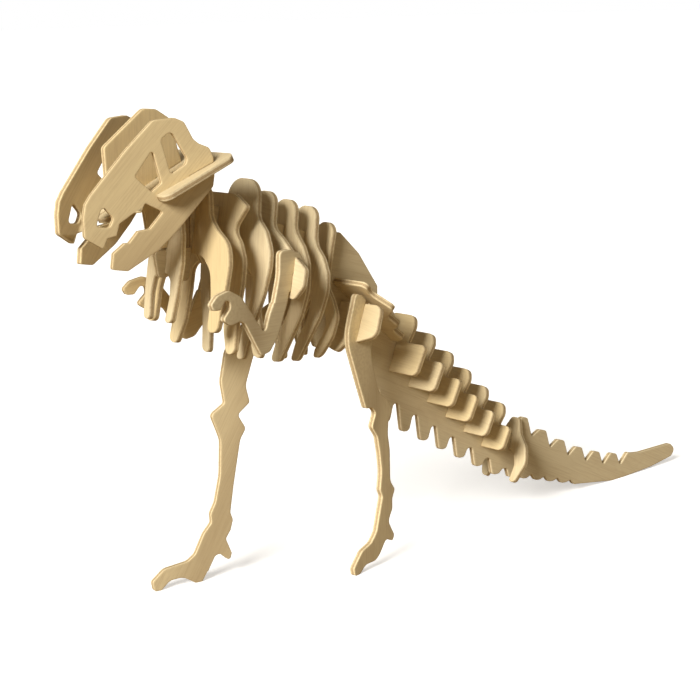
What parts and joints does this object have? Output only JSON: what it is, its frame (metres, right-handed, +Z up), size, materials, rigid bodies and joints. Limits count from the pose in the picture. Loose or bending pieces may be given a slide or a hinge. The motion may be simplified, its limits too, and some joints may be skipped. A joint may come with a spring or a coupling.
{
  "type": "wooden dinosaur skeleton puzzle",
  "caption": "Free-standing dinosaur skeleton assembled from flat die-cut plywood plates that slot into one another without glue.",
  "frame": {"origin": "on the floor under the middle of the whole model's length and width", "axes": "+Z up, +X towards the tail, -X towards the head, so +Y is the side of the striding leg"},
  "size_m": [0.4172, 0.0716, 0.2356],
  "materials": {
    "spine_plate": "bare sanded plywood, lightly scorched on the cut edge",
    "neck_rib": "bare sanded plywood, lightly scorched on the cut edge",
    "skull_core": "bare sanded plywood, lightly scorched on the cut edge",
    "palate": "bare sanded plywood, lightly scorched on the cut edge",
    "cheek_left": "bare sanded plywood, lightly scorched on the cut edge",
    "cheek_right": "bare sanded plywood, lightly scorched on the cut edge",
    "rib_1": "bare sanded plywood, lightly scorched on the cut edge",
    "rib_2": "bare sanded plywood, lightly scorched on the cut edge",
    "rib_3": "bare sanded plywood, lightly scorched on the cut edge",
    "rib_5": "bare sanded plywood, lightly scorched on the cut edge",
    "rib_6": "bare sanded plywood, lightly scorched on the cut edge",
    "rib_7": "bare sanded plywood, lightly scorched on the cut edge",
    "shoulder_plate": "bare sanded plywood, lightly scorched on the cut edge",
    "arm_left": "bare sanded plywood, lightly scorched on the cut edge",
    "arm_right": "bare sanded plywood, lightly scorched on the cut edge",
    "hip_plate": "bare sanded plywood, lightly scorched on the cut edge",
    "leg_left": "bare sanded plywood, lightly scorched on the cut edge",
    "leg_right": "bare sanded plywood, lightly scorched on the cut edge",
    "sacral_plate": "bare sanded plywood, lightly scorched on the cut edge",
    "tail_plate": "bare sanded plywood, lightly scorched on the cut edge",
    "tail_vertebra_1": "bare sanded plywood, lightly scorched on the cut edge",
    "tail_vertebra_2": "bare sanded plywood, lightly scorched on the cut edge",
    "tail_vertebra_3": "bare sanded plywood, lightly scorched on the cut edge",
    "tail_vertebra_4": "bare sanded plywood, lightly scorched on the cut edge",
    "tail_vertebra_5": "bare sanded plywood, lightly scorched on the cut edge",
    "tail_vertebra_6": "bare sanded plywood, lightly scorched on the cut edge",
    "tail_chevron": "bare sanded plywood, lightly scorched on the cut edge"
  },
  "bodies": {
    "spine_plate": {"spine_plate": "spine_plate"},
    "neck_rib": {"neck_rib": "neck_rib"},
    "skull_core": {"skull_core": "skull_core"},
    "palate": {"palate": "palate"},
    "cheek_left": {"cheek_left": "cheek_left"},
    "cheek_right": {"cheek_right": "cheek_right"},
    "rib_1": {"rib_1": "rib_1"},
    "rib_2": {"rib_2": "rib_2"},
    "rib_3": {"rib_3": "rib_3"},
    "rib_5": {"rib_5": "rib_5"},
    "rib_6": {"rib_6": "rib_6"},
    "rib_7": {"rib_7": "rib_7"},
    "shoulder_plate": {"shoulder_plate": "shoulder_plate"},
    "arm_left": {"arm_left": "arm_left"},
    "arm_right": {"arm_right": "arm_right"},
    "hip_plate": {"hip_plate": "hip_plate"},
    "leg_left": {"leg_left": "leg_left"},
    "leg_right": {"leg_right": "leg_right"},
    "sacral_plate": {"sacral_plate": "sacral_plate"},
    "tail_plate": {"tail_plate": "tail_plate"},
    "tail_vertebra_1": {"tail_vertebra_1": "tail_vertebra_1"},
    "tail_vertebra_2": {"tail_vertebra_2": "tail_vertebra_2"},
    "tail_vertebra_3": {"tail_vertebra_3": "tail_vertebra_3"},
    "tail_vertebra_4": {"tail_vertebra_4": "tail_vertebra_4"},
    "tail_vertebra_5": {"tail_vertebra_5": "tail_vertebra_5"},
    "tail_vertebra_6": {"tail_vertebra_6": "tail_vertebra_6"},
    "tail_chevron": {"tail_chevron": "tail_chevron"}
  },
  "joints": [
    {"name": "neck_rib_slide", "type": "slide", "parent": "spine_plate", "child": "neck_rib", "axis": [0.2096, 0, 0.9778], "range_m": [0, 0.008]},
    {"name": "skull_core_slide", "type": "slide", "parent": "neck_rib", "child": "skull_core", "axis": [0.2096, 0, 0.9778], "range_m": [0, 0.01]},
    {"name": "palate_slide", "type": "slide", "parent": "skull_core", "child": "palate", "axis": [0.9164, 0, 0.4003], "range_m": [0, 0.016]},
    {"name": "cheek_left_slide", "type": "slide", "parent": "palate", "child": "cheek_left", "axis": [-0.9026, 0.1725, -0.3943], "range_m": [0, 0.016]},
    {"name": "cheek_right_slide", "type": "slide", "parent": "palate", "child": "cheek_right", "axis": [-0.9026, -0.1725, -0.3943], "range_m": [0, 0.016]},
    {"name": "rib_1_slide", "type": "slide", "parent": "spine_plate", "child": "rib_1", "axis": [0.2096, 0, 0.9778], "range_m": [0, 0.01]},
    {"name": "rib_2_slide", "type": "slide", "parent": "spine_plate", "child": "rib_2", "axis": [0.2096, 0, 0.9778], "range_m": [0, 0.01]},
    {"name": "rib_3_slide", "type": "slide", "parent": "spine_plate", "child": "rib_3", "axis": [0.2096, 0, 0.9778], "range_m": [0, 0.01]},
    {"name": "rib_5_slide", "type": "slide", "parent": "spine_plate", "child": "rib_5", "axis": [0.2096, 0, 0.9778], "range_m": [0, 0.01]},
    {"name": "rib_6_slide", "type": "slide", "parent": "spine_plate", "child": "rib_6", "axis": [0.2096, 0, 0.9778], "range_m": [0, 0.01]},
    {"name": "rib_7_slide", "type": "slide", "parent": "spine_plate", "child": "rib_7", "axis": [0.2096, 0, 0.9778], "range_m": [0, 0.007]},
    {"name": "shoulder_plate_slide", "type": "slide", "parent": "spine_plate", "child": "shoulder_plate", "axis": [0.2096, 0, 0.9778], "range_m": [0, 0.01]},
    {"name": "arm_left_slide", "type": "slide", "parent": "shoulder_plate", "child": "arm_left", "axis": [0.2096, 0.0244, 0.9775], "range_m": [0, 0.008]},
    {"name": "arm_right_slide", "type": "slide", "parent": "shoulder_plate", "child": "arm_right", "axis": [0.2096, -0.0244, 0.9775], "range_m": [0, 0.008]},
    {"name": "hip_plate_slide", "type": "slide", "parent": "spine_plate", "child": "hip_plate", "axis": [-0.4242, 0, -0.9056], "range_m": [0, 0.009]},
    {"name": "leg_left_slide", "type": "slide", "parent": "hip_plate", "child": "leg_left", "axis": [-0.4232, -0.0687, -0.9034], "range_m": [0, 0.01]},
    {"name": "leg_right_slide", "type": "slide", "parent": "hip_plate", "child": "leg_right", "axis": [-0.4232, 0.0687, -0.9034], "range_m": [0, 0.01]},
    {"name": "sacral_plate_slide", "type": "slide", "parent": "spine_plate", "child": "sacral_plate", "axis": [0.742, 0, -0.6704], "range_m": [0, 0.016]},
    {"name": "tail_plate_slide", "type": "slide", "parent": "sacral_plate", "child": "tail_plate", "axis": [0.742, 0, -0.6704], "range_m": [0, 0.006]},
    {"name": "tail_vertebra_1_slide", "type": "slide", "parent": "tail_plate", "child": "tail_vertebra_1", "axis": [0.4242, 0, 0.9056], "range_m": [0, 0.007]},
    {"name": "tail_vertebra_2_slide", "type": "slide", "parent": "tail_plate", "child": "tail_vertebra_2", "axis": [0.4242, 0, 0.9056], "range_m": [0, 0.007]},
    {"name": "tail_vertebra_3_slide", "type": "slide", "parent": "tail_plate", "child": "tail_vertebra_3", "axis": [0.4242, 0, 0.9056], "range_m": [0, 0.007]},
    {"name": "tail_vertebra_4_slide", "type": "slide", "parent": "tail_plate", "child": "tail_vertebra_4", "axis": [0.4242, 0, 0.9056], "range_m": [0, 0.007]},
    {"name": "tail_vertebra_5_slide", "type": "slide", "parent": "tail_plate", "child": "tail_vertebra_5", "axis": [0.4242, 0, 0.9056], "range_m": [0, 0.007]},
    {"name": "tail_vertebra_6_slide", "type": "slide", "parent": "tail_plate", "child": "tail_vertebra_6", "axis": [0.4242, 0, 0.9056], "range_m": [0, 0.007]},
    {"name": "tail_chevron_slide", "type": "slide", "parent": "tail_plate", "child": "tail_chevron", "axis": [0.4242, 0, 0.9056], "range_m": [0, 0.004]}
  ]
}
